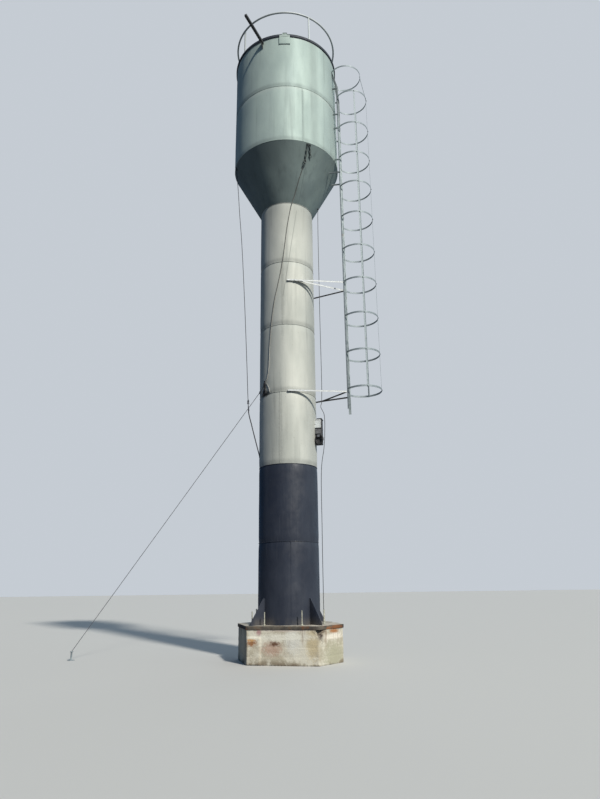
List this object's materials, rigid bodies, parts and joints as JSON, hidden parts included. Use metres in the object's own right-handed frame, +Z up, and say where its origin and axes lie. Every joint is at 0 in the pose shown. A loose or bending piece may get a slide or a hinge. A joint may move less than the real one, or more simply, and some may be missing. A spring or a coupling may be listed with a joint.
{
  "type": "water tower",
  "caption": "Welded steel water tower: a tall tube column on a concrete block carries a round tank with a cone bottom and a railed roof, with a caged ladder beside it.",
  "frame": {"origin": "on the column's axis, at the underside of the concrete block", "axes": "+Z up; -Y is the front, where the lifting lug shows; +X is the side of the caged ladder"},
  "size_m": [6.344, 3.1728, 14.578],
  "materials": {
    "concrete": "weathered cast concrete with form-board marks and rust stains",
    "base_steel": "worn dark primer on steel plate, rusty at the edges",
    "bitumen": "black bitumen coating with a soft sheen",
    "silver_paint": "dull silver-grey paint on welded steel sheet",
    "shaded_paint": "darker grey-green paint",
    "bare_steel": "dull galvanised steel sections",
    "steel_rope": "dull stranded steel wire rope",
    "black_cable": "black rubber sheath",
    "black_plastic": "black plastic housing",
    "box_paint": "off-white painted sheet steel"
  },
  "bodies": {
    "root": {"foundation_block": "concrete", "base_plate": "base_steel", "gusset_1": "bitumen", "gusset_2": "bitumen", "gusset_3": "bitumen", "gusset_4": "bitumen", "column_course_1": "bitumen", "column_course_2": "bitumen", "column_course_3": "silver_paint", "column_course_4": "silver_paint", "column_course_5": "silver_paint", "column_course_6": "silver_paint", "tank_cone": "shaded_paint", "tank_lower_course": "silver_paint", "tank_upper_course": "silver_paint", "tank_roof": "shaded_paint", "roof_rim": "bitumen", "roof_hatch": "silver_paint", "roof_rail": "silver_paint", "lifting_lug_front": "silver_paint", "lifting_lug_rear": "silver_paint", "outrigger": "bare_steel", "ladder": "bare_steel", "cage_hoop_1": "bare_steel", "cage_hoop_2": "bare_steel", "cage_hoop_3": "bare_steel", "cage_hoop_4": "bare_steel", "cage_hoop_5": "bare_steel", "cage_hoop_6": "bare_steel", "cage_hoop_7": "bare_steel", "cage_hoop_8": "bare_steel", "cage_hoop_9": "bare_steel", "cage_hoop_10": "bare_steel", "cage_hoop_11": "bare_steel", "cage_bar_1": "bare_steel", "cage_bar_2": "bare_steel", "cage_bar_3": "bare_steel", "upper_bracket": "bare_steel", "lower_bracket": "bare_steel", "front_rope": "steel_rope", "rope_knot": "steel_rope", "side_rope": "steel_rope", "stay_rope": "steel_rope", "stay_stake": "bare_steel", "hanging_cable": "black_cable", "switch_box": "black_plastic", "box_door": "box_paint", "cable_coil": "black_cable"}
  },
  "joints": []
}
